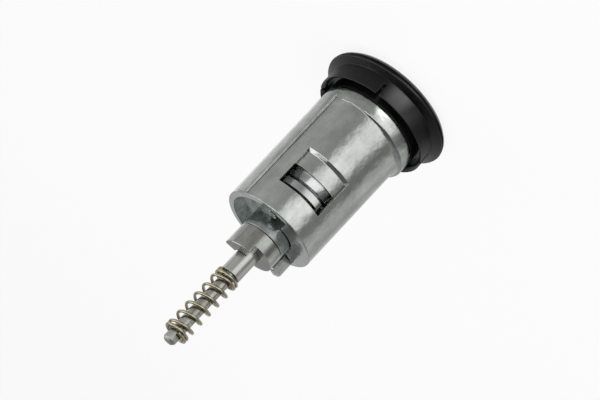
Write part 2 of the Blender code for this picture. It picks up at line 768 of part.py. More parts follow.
def make_wafers():
    found = []
    half = WAFER_WIDTH / 2
    tip = math.asin(half / WAFER_OUT)
    back = math.asin(half / WAFER_BACK)
    for i in range(WAFER_COUNT):
        side = 0.0 if i % 2 == 0 else math.pi
        middle = WAFER_FIRST + i * WAFER_PITCH
        outline = arc(WAFER_OUT, math.pi / 2 - tip, math.pi / 2 + tip, 6)
        outline += [
            (TAB_TO, half),
            (TAB_TO, half + TAB_WIDTH),
            (TAB_FROM, half + TAB_WIDTH),
            (TAB_FROM, half),
        ]
        outline += arc(WAFER_BACK, -math.pi / 2 - back, -math.pi / 2 + back, 6)
        place = Matrix.Rotation(side, 4, "Z") @ Matrix.Translation((0.0, 0.0, middle))
        wafer = plate(
            f"wafer_{i + 1}",
            outline,
            -WAFER_THICKNESS / 2,
            WAFER_THICKNESS / 2,
            brass,
            place=place,
        )
        window = box(
            f"wafer_window_form_{i + 1}",
            (-WAFER_WINDOW_LENGTH / 2, -WAFER_WINDOW_WIDTH / 2, middle - OVERCUT),
            (WAFER_WINDOW_LENGTH / 2, WAFER_WINDOW_WIDTH / 2, middle + OVERCUT),
        )
        cut(wafer, window)
        count = WAFER_COIL_TURNS * 5
        coil_from = 0.15 * MM - SPRING_BACK
        coil_to = TAB_FROM - 0.15 * MM
        points = []
        for k in range(count + 1):
            turn = 2 * math.pi * k / 5
            x = coil_from + (coil_to - coil_from) * k / count
            y = half + 0.3 * MM + WAFER_COIL_RADIUS * (1 + math.cos(turn))
            points.append((x, y, WAFER_COIL_RADIUS * math.sin(turn)))
        spring = wire(f"wafer_spring_{i + 1}", points, WAFER_WIRE, spring_steel, detail=1)
        spring.matrix_world = place
        found += [wafer, spring]
    return found


def make_stop_cam():
    low = WEB_REAR + SEAT_GAP
    cam = turned(
        "stop_cam",
        [
            (0.0, HUB_REAR),
            (CAM_RADIUS - 0.1 * MM, HUB_REAR),
            (CAM_RADIUS, HUB_REAR - 0.1 * MM),
            (CAM_RADIUS, low),
            (0.0, low),
        ],
        bright_zinc,
        steps=TURNED_STEPS,
    )
    outline = arc(ARM_RADIUS, ARM_FROM, ARM_TO, 6)
    outline += arc(CAM_RADIUS - OVERCUT, ARM_TO, ARM_FROM, 4)
    join(cam, plate("arm_form", outline, low, low + ARM_THICKNESS))
    hole = plate(
        "cam_hole_form",
        double_d(HUB_RADIUS + SEAT_GAP, HUB_FLAT + SEAT_GAP),
        low - OVERCUT,
        HUB_REAR + OVERCUT,
    )
    cut(cam, hole)
    return cam


def make_driver():
    driver = turned(
        "driver",
        [
            (0.0, STEP_REAR),
            (DRIVER_RADIUS - 0.15 * MM, STEP_REAR),
            (DRIVER_RADIUS, STEP_REAR - 0.15 * MM),
            (DRIVER_RADIUS, DRIVER_FRONT + 0.1 * MM),
            (DRIVER_RADIUS - 0.1 * MM, DRIVER_FRONT),
            (0.0, DRIVER_FRONT),
        ],
        zinc,
        steps=TURNED_STEPS,
    )
    outline = arc(DRIVER_RADIUS + OVERCUT, STEP_TO, STEP_FROM + 2 * math.pi, 30)
    outline += arc(ROD_HOLE_RADIUS + 0.3 * MM, STEP_FROM, STEP_TO, 6)
    low_side = plate("low_side_form", outline, DRIVER_REAR, STEP_REAR + OVERCUT)
    socket = plate(
        "socket_form",
        double_d(SPIGOT_RADIUS + SEAT_GAP, SPIGOT_FLAT + SEAT_GAP),
        DRIVER_FRONT - OVERCUT,
        DRIVER_REAR - DRIVER_PLATE,
    )
    hole = rod_shape(
        "rod_hole_form",
        ROD_HOLE_RADIUS,
        STEP_REAR - DRIVER_FRONT + 2 * OVERCUT,
        Matrix.Translation((0.0, 0.0, (DRIVER_FRONT + STEP_REAR) / 2)),
    )
    cut(driver, low_side, socket, hole, make_cross_hole("driver_cross_form"))
    length = CROSS_PIN_OUTER - CROSS_PIN_INNER
    place = along_y(0.0, (CROSS_PIN_INNER + CROSS_PIN_OUTER) / 2, CROSS_PIN_Z)
    pin = rod_shape("driver_pin", CROSS_PIN_RADIUS, length, place, steel, steps=16)
    return driver, pin


def make_rod():
    rod = turned(
        "rod",
        [
            (0.0, ROD_TIP),
            (ROD_THIN_RADIUS - 0.5 * MM, ROD_TIP),
            (ROD_THIN_RADIUS, ROD_TIP - 0.6 * MM),
            (ROD_THIN_RADIUS, ROD_SHOULDER),
            (ROD_RADIUS - 0.1 * MM, ROD_SHOULDER),
            (ROD_RADIUS, ROD_SHOULDER - 0.15 * MM),
            (ROD_RADIUS, ROD_FRONT + ROD_HEAD_LENGTH),
            (ROD_HEAD_RADIUS, ROD_FRONT + ROD_HEAD_LENGTH),
            (ROD_HEAD_RADIUS, ROD_FRONT + 0.2 * MM),
            (ROD_HEAD_RADIUS - 0.2 * MM, ROD_FRONT),
            (0.0, ROD_FRONT),
        ],
        steel,
        steps=SMALL_STEPS,
    )
    low = ROD_SHOULDER + SPRING_WIRE + 0.03 * MM
    closed_turns = 1.5
    ramp_turns = 0.4
    closed = closed_turns * SPRING_CLOSED_PITCH
    ramp = ramp_turns * (SPRING_CLOSED_PITCH + SPRING_PITCH) / 2
    high = SPRING_TOP - SPRING_WIRE
    open_turns = (high - low - 2 * closed - 2 * ramp) / SPRING_PITCH
    turns = 2 * closed_turns + 2 * ramp_turns + open_turns
    count = round(turns * 12)
    points = []
    z = low
    for i in range(count + 1):
        turn = turns * i / count
        from_end = min(turn, turns - turn)
        blend = min(max((from_end - closed_turns) / ramp_turns, 0.0), 1.0)
        if i > 0:
            z += (SPRING_CLOSED_PITCH + (SPRING_PITCH - SPRING_CLOSED_PITCH) * blend) * turns / count
        x, y = on_circle(SPRING_RADIUS, SPRING_START + 2 * math.pi * turn)
        points.append((x, y, z))
    spring = wire("rod_spring", points, SPRING_WIRE, yellow_steel)
    return rod, spring


def make_stop_pin():
    x, y = on_circle(STOP_PIN_DISTANCE, STOP_PIN_ANGLE)
    foot = WEB_REAR - STOP_PIN_DEPTH
    return rod_shape(
        "stop_pin",
        STOP_PIN_RADIUS,
        STOP_PIN_TOP - foot,
        Matrix.Translation((x, y, (foot + STOP_PIN_TOP) / 2)),
        steel,
        steps=16,
    )


clear_scene()
parts = new_collection("ignition_lock_cylinder")
cutters = new_collection("cutters")

zinc = new_material("zinc", (0.56, 0.57, 0.54), 0.38, 0.9)
bright_zinc = new_material("bright_zinc", (0.55, 0.60, 0.61), 0.32, 0.9)
steel = new_material("steel", (0.58, 0.58, 0.57), 0.3, 1.0)
spring_steel = new_material("spring_steel", (0.45, 0.45, 0.46), 0.35, 1.0)
yellow_steel = new_material("yellow_steel", (0.62, 0.53, 0.34), 0.32, 1.0)
brass = new_material("brass", (0.72, 0.58, 0.32), 0.35, 1.0)
black_plastic = new_material("black_plastic", (0.025, 0.026, 0.028), 0.36, 0.0)

lock_axis = bpy.data.objects.new("lock_axis", None)
parts.objects.link(lock_axis)
shutter_axis = bpy.data.objects.new("shutter_axis", None)
shutter_axis.location = (0.0, SHUTTER_PIN_Y, SHUTTER_PIN_Z)
parts.objects.link(shutter_axis)

make_housing()
make_bezel()
make_stop_pin()
turning = [make_rotor(), make_cap(), make_stop_cam()]
turning += make_driver()
turning += make_rod()
turning += make_wafers()
shutter, shutter_pin, shutter_spring = make_shutter()
turning += [shutter_pin, shutter_axis]
bpy.context.view_layer.update()
for item in turning:
    parent_to(item, lock_axis)
bpy.context.view_layer.update()
for item in (shutter, shutter_spring):
    parent_to(item, shutter_axis)

for item in parts.objects:
    if item.type == "MESH":
        item.data.shade_smooth()
        item.data.set_sharp_from_angle(angle=math.radians(35))
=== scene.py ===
import math

import bmesh
import bpy
import numpy as np
from mathutils import Matrix, Vector


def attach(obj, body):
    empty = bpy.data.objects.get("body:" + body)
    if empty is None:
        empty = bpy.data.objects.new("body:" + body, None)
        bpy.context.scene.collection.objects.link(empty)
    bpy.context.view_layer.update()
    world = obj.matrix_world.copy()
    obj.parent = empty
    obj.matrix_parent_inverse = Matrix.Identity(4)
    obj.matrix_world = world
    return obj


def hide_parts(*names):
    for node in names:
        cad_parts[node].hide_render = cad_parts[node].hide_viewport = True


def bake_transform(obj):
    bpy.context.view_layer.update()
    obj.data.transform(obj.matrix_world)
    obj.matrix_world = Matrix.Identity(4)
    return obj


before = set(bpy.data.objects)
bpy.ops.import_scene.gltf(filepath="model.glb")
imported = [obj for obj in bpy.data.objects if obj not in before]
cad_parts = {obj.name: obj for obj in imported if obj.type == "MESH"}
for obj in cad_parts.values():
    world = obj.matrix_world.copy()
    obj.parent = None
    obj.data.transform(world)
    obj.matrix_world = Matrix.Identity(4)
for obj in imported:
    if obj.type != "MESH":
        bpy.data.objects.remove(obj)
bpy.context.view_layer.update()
mm = 0.001


def addObject(name, data):
    item = bpy.data.objects.new(name, data)
    bpy.context.scene.collection.objects.link(item)
    return item


# camera fitted to the photo's outline
cameraSet = {"lens": 87.0, "sensor": 36.0, "distance": 0.3404, "elevation": 21.69, "aimHeight": 0.0354,
             "roll": -136.96, "clipStart": 0.01, "clipEnd": 20.0}


def makeCamera():
    data = bpy.data.cameras.new("photoCamera")
    data.lens = cameraSet["lens"]
    data.sensor_width = cameraSet["sensor"]
    data.clip_start = cameraSet["clipStart"]
    data.clip_end = cameraSet["clipEnd"]
    camera = addObject("photoCamera", data)
    rise = math.radians(cameraSet["elevation"])
    roll = math.radians(cameraSet["roll"])
    back = Vector((0.0, -math.cos(rise), math.sin(rise)))
    place = Vector((0.0, 0.0, cameraSet["aimHeight"])) + back * cameraSet["distance"]
    turn = Matrix.Rotation(math.pi / 2 - rise, 4, "X") @ Matrix.Rotation(roll, 4, "Z")
    camera.matrix_world = Matrix.Translation(place) @ turn
    bpy.context.scene.camera = camera


makeCamera()
print("camera done")


# node shortcuts
def newTree(name, kind="ShaderNodeTree"):
    tree = bpy.data.node_groups.new(name, kind)
    return tree, tree.nodes.new("NodeGroupInput"), tree.nodes.new("NodeGroupOutput")


def socket(tree, name, kind, side, value=None):
    item = tree.interface.new_socket(name=name, in_out=side, socket_type="NodeSocket" + kind)
    if value is not None:
        item.default_value = value


def addNode(tree, kind, inputs, props):
    node = tree.nodes.new(kind)
    for key, value in props.items():
        setattr(node, key, value)
    for key, value in (inputs or {}).items():
        if isinstance(value, bpy.types.NodeSocket):
            tree.links.new(value, node.inputs[key])
        else:
            node.inputs[key].default_value = value
    return node


def put(tree, kind, inputs=None, **props):
    return addNode(tree, "ShaderNode" + kind, inputs, props)


def geo(tree, kind, inputs=None, **props):
    return addNode(tree, "GeometryNode" + kind, inputs, props)


def calc(tree, operation, a, b=0.0, clamp=False):
    return put(tree, "Math", {0: a, 1: b}, operation=operation, use_clamp=clamp).outputs[0]


def plus(tree, a, b, clamp=False):
    return calc(tree, "ADD", a, b, clamp)


def minus(tree, a, b, clamp=False):
    return calc(tree, "SUBTRACT", a, b, clamp)


def times(tree, a, b, clamp=False):
    return calc(tree, "MULTIPLY", a, b, clamp)


def remap(tree, value, low, high, outLow=0.0, outHigh=1.0):
    node = put(tree, "MapRange", {"Value": value, "From Min": low, "From Max": high,
                                  "To Min": outLow, "To Max": outHigh}, clamp=True)
    return node.outputs["Result"]


# a Mix node's sockets go by number: 0 is the factor, 2 and 3 are its values, 6 and 7 its colours
def mixValue(tree, factor, a, b):
    return put(tree, "Mix", {0: factor, 2: a, 3: b}).outputs[0]


def mixColour(tree, factor, a, b):
    node = tree.nodes.new("ShaderNodeMix")
    node.data_type = "RGBA"
    for index, value in ((0, factor), (6, a), (7, b)):
        if isinstance(value, bpy.types.NodeSocket):
            tree.links.new(value, node.inputs[index])
        else:
            node.inputs[index].default_value = value if index == 0 else (*value, 1.0)
    return node.outputs[2]


def noise(tree, place, scale, detail=3.0, rough=0.55):
    inputs = {"Vector": place, "Scale": scale, "Detail": detail, "Roughness": rough}
    return put(tree, "TexNoise", inputs).outputs["Fac"]


def mapped(tree, place, **inputs):
    return put(tree, "Mapping", {"Vector": place, **inputs}).outputs[0]


def objectPlace(tree):
    return put(tree, "TexCoord").outputs["Object"]


def xyz(tree, vector):
    return put(tree, "SeparateXYZ", {0: vector}).outputs


def faceWay(tree):
    return xyz(tree, put(tree, "NewGeometry").outputs["Normal"])


def axisReach(tree, x, y):
    # distance from an axis that stands upright
    return calc(tree, "SQRT", plus(tree, times(tree, x, x), times(tree, y, y)))


# in all finishes a noise is its scale, its detail and, where it matters, its roughness; a range is where a
# mask starts and ends, with the values that it has there where they aren't 0 and 1
castSkinSet = {"cloud": (150.0, 4.0, 0.62), "cloudShare": 0.5, "streak": (620.0, 3.0, 0.6),
               "streakShare": 0.27, "streakStretch": (1.0, 1.0, 0.22), "mottle": (560.0, 3.0, 0.6),
               "mottleShare": 0.23, "wave": (380.0, 2.0, 0.5), "grain": (3300.0, 2.0, 0.6),
               "grainShare": 0.35, "peel": (900.0, 2.0, 0.5), "peelShare": 0.65, "poreScale": 900.0,
               "poreSize": (0.05, 0.16, 1.0, 0.0), "poreArea": (260.0, 1.0), "poreRange": (0.60, 0.70)}


def makeCastSkin():
    # die-cast skin: cloudy flow marks, fine grain, a few pores and slow waves
    tree, start, end = newTree("castSkin")
    for name in ("Grain", "Pores"):
        socket(tree, name, "Float", "INPUT", 1.0)
    for name in ("Cloud", "Height", "Pore", "Wave"):
        socket(tree, name, "Float", "OUTPUT")
    place = objectPlace(tree)

    def layer(name, at):
        return times(tree, noise(tree, at, *castSkinSet[name]), castSkinSet[name + "Share"])

    drawn = mapped(tree, place, Scale=castSkinSet["streakStretch"])
    cloud = plus(tree, plus(tree, layer("cloud", place), layer("streak", drawn)), layer("mottle", place))
    cells = put(tree, "TexVoronoi", {"Vector": place, "Scale": castSkinSet["poreScale"]}, feature="F1")
    dot = remap(tree, cells.outputs["Distance"], *castSkinSet["poreSize"])
    rare = remap(tree, noise(tree, place, *castSkinSet["poreArea"]), *castSkinSet["poreRange"])
    pore = times(tree, times(tree, dot, rare), start.outputs["Pores"], True)
    fine = plus(tree, layer("grain", place), layer("peel", place))
    height = minus(tree, times(tree, fine, start.outputs["Grain"]), pore)
    tree.links.new(cloud, end.inputs["Cloud"])
    tree.links.new(height, end.inputs["Height"])
    tree.links.new(pore, end.inputs["Pore"])
    tree.links.new(noise(tree, place, *castSkinSet["wave"]), end.inputs["Wave"])
    return tree


edgeRubSet = {"width": 0.22 * mm, "samples": 4, "corner": (0.985, 0.86), "gaps": (1400.0, 3.0, 0.7),
              "gapRange": (0.30, 0.62)}


def makeEdgeRub():
    # where corners are rubbed bright, broken up by noise
    tree, start, end = newTree("edgeRub")
    socket(tree, "Amount", "Float", "INPUT", 1.0)
    socket(tree, "Width", "Float", "INPUT", edgeRubSet["width"])
    socket(tree, "Rub", "Float", "OUTPUT")
    bevel = put(tree, "Bevel", {"Radius": start.outputs["Width"]}, samples=edgeRubSet["samples"])
    flat = put(tree, "NewGeometry").outputs["Normal"]
    same = put(tree, "VectorMath", {0: bevel.outputs[0], 1: flat}, operation="DOT_PRODUCT").outputs["Value"]
    corner = remap(tree, same, *edgeRubSet["corner"])
    broken = remap(tree, noise(tree, objectPlace(tree), *edgeRubSet["gaps"]), *edgeRubSet["gapRange"])
    rub = times(tree, times(tree, corner, broken), start.outputs["Amount"], True)
    tree.links.new(rub, end.inputs["Rub"])
    return tree


handlingSet = {"hairs": ((0.5, 14.0), (-0.9, 11.0)), "tilt": 0.3, "length": 0.5, "hair": (210.0, 1.0, 0.5),
               "hairLevel": 0.5, "hairWidth": (0.0, 0.006, 1.0, 0.0), "patch": (170.0, 2.0),
               "patchRange": (0.52, 0.66), "film": (95.0, 5.0, 0.65), "filmRange": (0.42, 0.72)}


def makeHandling():
    # hairline scratches both ways and thin grime; a set of hairs is its turn and how thin it is drawn
    tree, start, end = newTree("handling")
    for name in ("Scratch", "Grime"):
        socket(tree, name, "Float", "INPUT", 1.0)
    for name in ("Line", "Film"):
        socket(tree, name, "Float", "OUTPUT")
    place = objectPlace(tree)
    lines = []
    for angle, thin in handlingSet["hairs"]:
        turned = mapped(tree, place, Rotation=(angle, handlingSet["tilt"], angle),
                        Scale=(thin, thin, handlingSet["length"]))
        hair = minus(tree, noise(tree, turned, *handlingSet["hair"]), handlingSet["hairLevel"])
        lines.append(remap(tree, calc(tree, "ABSOLUTE", hair), *handlingSet["hairWidth"]))
    patch = remap(tree, noise(tree, place, *handlingSet["patch"]), *handlingSet["patchRange"])
    line = times(tree, calc(tree, "MAXIMUM", lines[0], lines[1]), patch)
    tree.links.new(times(tree, line, start.outputs["Scratch"], True), end.inputs["Line"])
    film = remap(tree, noise(tree, place, *handlingSet["film"]), *handlingSet["filmRange"])
    tree.links.new(times(tree, film, start.outputs["Grime"], True), end.inputs["Film"])
    return tree


castSkin = makeCastSkin()
edgeRub = makeEdgeRub()
handling = makeHandling()


def use(tree, group, **values):
    node = tree.nodes.new("ShaderNodeGroup")
    node.node_tree = group
    for key, value in values.items():
        node.inputs[key].default_value = value
    return node.outputs


def newMaterial(name, metallic, **fixed):
    material = bpy.data.materials.new(name)
    material.use_nodes = True
    tree = material.node_tree
    shader = tree.nodes["Principled BSDF"]
    for key, value in {"Metallic": metallic, **fixed}.items():
        shader.inputs[key].default_value = value
    return material, tree, shader


def addBump(tree, shader, height, strength, depth, wave=None, waveDepth=0.0):
    bump = put(tree, "Bump", {"Strength": strength, "Distance": depth, "Height": height})
    if wave is not None:
        slow = put(tree, "Bump", {"Strength": 1.0, "Distance": waveDepth, "Height": wave})
        tree.links.new(slow.outputs[0], bump.inputs["Normal"])
    tree.links.new(bump.outputs[0], shader.inputs["Normal"])


# where the castings' marks and the painted shade lie, from the sizes of the housing and the rotor
markAndShadeSet = {"endFacing": (0.9, 0.98), "endHeight": (44 * mm, 45 * mm),
               "footFacing": (-0.8, -0.65, 0.7, 0.0), "footX": (10.4 * mm, 10.7 * mm),
               "grooveReach": (8.1 * mm, 8.9 * mm, 0.85, 0.0), "grooveHeight": (34.5 * mm, 34.75 * mm),
               "boreX": 0.45 * mm, "boreReach": (10.72 * mm, 10.85 * mm, 1.0, 0.0),
               "boreHeight": (46.05 * mm, 46.25 * mm, 1.0, 0.0)}


def endFaces(tree, spot, tones):
    # faces near the rear that point up the axis get a tone of their own, set in each finish
    across = remap(tree, faceWay(tree)["Z"], *markAndShadeSet["endFacing"])
    across = times(tree, across, remap(tree, spot["Z"], *markAndShadeSet["endHeight"]))
    return times(tree, across, tones["endShare"]), tones["ends"]


def ribFootShade(tree, spot, tones):
    # painted shade: the foot of the side rib, where the rib meets the barrel, is darkened with the grime
    # colour
    foot = remap(tree, faceWay(tree)["Y"], *markAndShadeSet["footFacing"])
    return times(tree, foot, remap(tree, spot["X"], *markAndShadeSet["footX"])), tones["grime"]


def grooves(tree, spot, tones):
    # painted shade: the turned grooves between the bands are darkened almost to black
    deep = remap(tree, axisReach(tree, spot["X"], spot["Y"]), *markAndShadeSet["grooveReach"])
    behind = remap(tree, spot["Z"], *markAndShadeSet["grooveHeight"])
    return times(tree, deep, behind), tones["groove"]


def rearBore(tree, spot):
    # 1 inside the rear bore, where the casting is left rough
    reach = axisReach(tree, minus(tree, spot["X"], markAndShadeSet["boreX"]), spot["Y"])
    inside = remap(tree, reach, *markAndShadeSet["boreReach"])
    return times(tree, inside, remap(tree, spot["Z"], *markAndShadeSet["boreHeight"]))


castWearSet = {"rub": 0.8, "rubWidth": 0.2 * mm, "rubGloss": 0.08, "scratch": 0.7, "scratchDepth": 0.4,
               "film": 0.45, "filmRough": 0.06, "toneRange": (0.36, 0.64), "roughRange": (0.34, 0.66),
               "bump": (0.3, 0.06 * mm), "stain": (420.0, 5.0, 0.7), "stainRange": (0.36, 0.62),
               "stainRough": 0.55, "stainDull": 0.75}


def makeCastZinc(name, tones, marksAndShade=(), bore=False):
    material, tree, shader = newMaterial(name, 1.0)
    skin = use(tree, castSkin, Grain=tones["grain"], Pores=tones["pores"])
    wear = use(tree, edgeRub, Amount=castWearSet["rub"], Width=castWearSet["rubWidth"])
    hands = use(tree, handling, Scratch=castWearSet["scratch"], Grime=tones["film"])
    place = objectPlace(tree)
    spot = xyz(tree, place)
    tone = remap(tree, skin["Cloud"], *castWearSet["toneRange"])
    colour = mixColour(tree, tone, tones["dark"], tones["light"])
    colour = mixColour(tree, times(tree, hands["Film"], castWearSet["film"]), colour, tones["grime"])
    colour = mixColour(tree, skin["Pore"], colour, tones["grime"])
    # each layer is a casting mark or painted shade, given as a mask and its colour
    for toneLayer in marksAndShade:
        amount, tint = toneLayer(tree, spot, tones)
        colour = mixColour(tree, amount, colour, tint)
    colour = mixColour(tree, wear["Rub"], colour, tones["rubbed"])
    rough = remap(tree, skin["Cloud"], *castWearSet["roughRange"], tones["roughHigh"], tones["roughLow"])
    rough = plus(tree, rough, times(tree, hands["Film"], castWearSet["filmRough"]))
    rough = minus(tree, rough, times(tree, wear["Rub"], castWearSet["rubGloss"]), True)
    if bore:  # stained and matt, so its metal shows less
        inside = rearBore(tree, spot)
        stain = remap(tree, noise(tree, place, *castWearSet["stain"]), *castWearSet["stainRange"])
        stained = mixColour(tree, stain, tones["stainDark"], tones["stainLight"])
        colour = mixColour(tree, inside, colour, stained)
        rough = mixValue(tree, inside, rough, castWearSet["stainRough"])
        metal = minus(tree, 1.0, times(tree, inside, castWearSet["stainDull"]))
        tree.links.new(metal, shader.inputs["Metallic"])
    tree.links.new(colour, shader.inputs["Base Color"])
    tree.links.new(rough, shader.inputs["Roughness"])
    height = minus(tree, skin["Height"], times(tree, hands["Line"], castWearSet["scratchDepth"]))
    addBump(tree, shader, height, *castWearSet["bump"], skin["Wave"], tones["swell"])
    return material


# the grime colour here is real grime in the film and pores, and also the painted shade along the foot of
# the side rib
castZincSet = {"light": (0.445, 0.456, 0.448), "dark": (0.305, 0.318, 0.306), "rubbed": (0.64, 0.65, 0.64),
               "grime": (0.20, 0.202, 0.195), "ends": (0.56, 0.57, 0.56), "endShare": 0.7,
               "stainDark": (0.27, 0.31, 0.295), "stainLight": (0.60, 0.65, 0.63), "grain": 1.0,
               "pores": 1.0, "film": 0.5, "roughLow": 0.14, "roughHigh": 0.24, "swell": 0.16 * mm}
castZinc = makeCastZinc("castZinc", castZincSet, (endFaces, ribFootShade), bore=True)

tailZincSet = {"light": (0.42, 0.425, 0.4), "dark": (0.2, 0.206, 0.192), "rubbed": (0.6, 0.61, 0.6),
               "grime": (0.15, 0.148, 0.14), "ends": (0.22, 0.218, 0.21), "endShare": 0.8, "grain": 0.8,
               "pores": 0.5, "film": 0.8, "roughLow": 0.11, "roughHigh": 0.2, "swell": 0.08 * mm}
tailZinc = makeCastZinc("tailZinc", tailZincSet, (endFaces,))

# the darkest colour in this set is painted shade for the turned grooves between the bands
rotorZincSet = {"light": (0.45, 0.46, 0.455), "dark": (0.36, 0.37, 0.37), "rubbed": (0.62, 0.63, 0.63),
                "grime": (0.16, 0.165, 0.165), "groove": (0.05, 0.052, 0.052), "grain": 0.5, "pores": 0.2,
                "film": 0.5, "roughLow": 0.13, "roughHigh": 0.2, "swell": 0.06 * mm}
rotorZinc = makeCastZinc("rotorZinc", rotorZincSet, (grooves,))

camZincSet = {"light": (0.42, 0.455, 0.445), "dark": (0.22, 0.245, 0.242), "rubbed": (0.6, 0.63, 0.62),
              "grime": (0.11, 0.12, 0.118), "grain": 0.9, "pores": 0.6, "film": 1.0, "roughLow": 0.17,
              "roughHigh": 0.3, "swell": 0.14 * mm}
camZinc = makeCastZinc("camZinc", camZincSet)

turnedSteelSet = {"light": (0.45, 0.45, 0.43), "dark": (0.3, 0.3, 0.29), "underSpringTone": (0.22, 0.21, 0.18),
                  "grime": (0.22, 0.215, 0.2), "rubbed": (0.66, 0.66, 0.64), "rings": (5200.0, 2.0, 0.7),
                  "ringRange": (0.3, 0.7), "ringShare": 0.5, "film": 0.4, "rub": 0.7, "rubWidth": 0.15 * mm,
                  "scratch": 0.8, "grimeShare": 0.7, "springFrom": 61.1 * mm, "tipFrom": 79.7 * mm,
                  "fade": 0.4 * mm, "blotch": (900.0, 4.0, 0.75), "blotchRange": (0.38, 0.6, 0.1, 0.95),
                  "tipClean": 0.7, "tipRough": 0.3, "rough": (0.16, 0.28), "bump": (0.18, 0.04 * mm)}


def makeTurnedSteel():
    # tool marks run round the lock axis, so they depend on height and distance from it
    material, tree, shader = newMaterial("turnedSteel", 1.0)
    place = objectPlace(tree)
    spot = xyz(tree, place)
    along = plus(tree, spot["Z"], axisReach(tree, spot["X"], spot["Y"]))
    ringPlace = put(tree, "CombineXYZ", {"Z": along}).outputs[0]
    rings = noise(tree, ringPlace, *turnedSteelSet["rings"])
    hands = use(tree, handling, Scratch=turnedSteelSet["scratch"], Grime=turnedSteelSet["grimeShare"])
    wear = use(tree, edgeRub, Amount=turnedSteelSet["rub"], Width=turnedSteelSet["rubWidth"])
    tone = times(tree, remap(tree, rings, *turnedSteelSet["ringRange"]), turnedSteelSet["ringShare"])
    colour = mixColour(tree, tone, turnedSteelSet["light"], turnedSteelSet["dark"])
    film = times(tree, hands["Film"], turnedSteelSet["film"])
    colour = mixColour(tree, film, colour, turnedSteelSet["grime"])
    # under the spring the rod is darker and blotchy, and its tip has fewer blotches and is matt
    low, tip, fade = (turnedSteelSet[key] for key in ("springFrom", "tipFrom", "fade"))
    under = remap(tree, spot["Z"], low, low + fade)
    blotch = remap(tree, noise(tree, place, *turnedSteelSet["blotch"]), *turnedSteelSet["blotchRange"])
    atTip = remap(tree, spot["Z"], tip, tip + fade)
    blotch = times(tree, blotch, minus(tree, 1.0, times(tree, atTip, turnedSteelSet["tipClean"])))
    colour = mixColour(tree, times(tree, under, blotch), colour, turnedSteelSet["underSpringTone"])
    colour = mixColour(tree, wear["Rub"], colour, turnedSteelSet["rubbed"])
    tree.links.new(colour, shader.inputs["Base Color"])
    rough = remap(tree, rings, *turnedSteelSet["ringRange"], *turnedSteelSet["rough"])
    rough = plus(tree, rough, times(tree, atTip, turnedSteelSet["tipRough"]))
    tree.links.new(rough, shader.inputs["Roughness"])
    addBump(tree, shader, minus(tree, rings, hands["Line"]), *turnedSteelSet["bump"])
    return material


turnedSteel = makeTurnedSteel()

yellowWireSet = {"straw": (0.38, 0.35, 0.23), "pink": (0.33, 0.27, 0.22), "green": (0.275, 0.295, 0.195),
                 "bare": (0.375, 0.365, 0.32), "drift": (420.0, 3.0, 0.6), "strawRange": (0.35, 0.5),
                 "greenRange": (0.53, 0.66), "thin": (1100.0, 3.0, 0.65), "thinRange": (0.52, 0.68),
                 "bareShare": 0.6, "linesRound": 9.0, "linesAlong": 300.0, "lines": (2.0, 3.0, 0.7),
                 "rough": (0.3, 0.7, 0.12, 0.24), "bump": (0.15, 0.03 * mm)}


def makeYellowWire():
    # yellow passivated wire: the film's colour drifts between straw, pink and green, and is thin in places
    material, tree, shader = newMaterial("yellowWire", 1.0)
    place = objectPlace(tree)
    drift = noise(tree, place, *yellowWireSet["drift"])
    straw = remap(tree, drift, *yellowWireSet["strawRange"])
    colour = mixColour(tree, straw, yellowWireSet["pink"], yellowWireSet["straw"])
    green = remap(tree, drift, *yellowWireSet["greenRange"])
    colour = mixColour(tree, green, colour, yellowWireSet["green"])
    thin = remap(tree, noise(tree, place, *yellowWireSet["thin"]), *yellowWireSet["thinRange"])
    colour = mixColour(tree, times(tree, thin, yellowWireSet["bareShare"]), colour, yellowWireSet["bare"])
    tree.links.new(colour, shader.inputs["Base Color"])
    along = put(tree, "Attribute", attribute_name="wireAlong").outputs["Fac"]
    around = put(tree, "Attribute", attribute_name="wireAround").outputs["Fac"]
    drawn = put(tree, "CombineXYZ", {"X": times(tree, around, yellowWireSet["linesRound"]),
                                     "Y": times(tree, along, yellowWireSet["linesAlong"])})
    lines = noise(tree, drawn.outputs[0], *yellowWireSet["lines"])
    tree.links.new(remap(tree, lines, *yellowWireSet["rough"]), shader.inputs["Roughness"])
    addBump(tree, shader, lines, *yellowWireSet["bump"])
    return material


yellowWire = makeYellowWire()

springWireSet = {"dark": (0.30, 0.30, 0.31), "light": (0.46, 0.46, 0.46), "drift": (900.0, 4.0, 0.65),
                 "toneRange": (0.35, 0.65), "rough": (0.3, 0.7, 0.26, 0.4), "grain": (4200.0, 2.0),
                 "bump": (0.12, 0.03 * mm)}


def makeSpringWire():
    material, tree, shader = newMaterial("springWire", 1.0)
    place = objectPlace(tree)
    drift = noise(tree, place, *springWireSet["drift"])
    tone = remap(tree, drift, *springWireSet["toneRange"])
    colour = mixColour(tree, tone, springWireSet["dark"], springWireSet["light"])
    tree.links.new(colour, shader.inputs["Base Color"])
    tree.links.new(remap(tree, drift, *springWireSet["rough"]), shader.inputs["Roughness"])
    addBump(tree, shader, noise(tree, place, *springWireSet["grain"]), *springWireSet["bump"])
    return material


springWire = makeSpringWire()

brassSheetSet = {"bright": (0.70, 0.55, 0.29), "dull": (0.46, 0.33, 0.17), "rolled": (0.15, 1.0, 1.0),
                 "grain": (2600.0, 3.0, 0.6), "tarnish": (420.0, 4.0, 0.6), "tarnishRange": (0.4, 0.7),
                 "rough": (0.3, 0.7, 0.24, 0.4), "bump": (0.12, 0.03 * mm)}


def makeBrassSheet():
    material, tree, shader = newMaterial("brassSheet", 1.0)
    place = objectPlace(tree)
    grain = noise(tree, mapped(tree, place, Scale=brassSheetSet["rolled"]), *brassSheetSet["grain"])
    tarnish = remap(tree, noise(tree, place, *brassSheetSet["tarnish"]), *brassSheetSet["tarnishRange"])
    colour = mixColour(tree, tarnish, brassSheetSet["bright"], brassSheetSet["dull"])
    tree.links.new(colour, shader.inputs["Base Color"])
    tree.links.new(remap(tree, grain, *brassSheetSet["rough"]), shader.inputs["Roughness"])
    addBump(tree, shader, grain, *brassSheetSet["bump"])
    return material


brassSheet = makeBrassSheet()

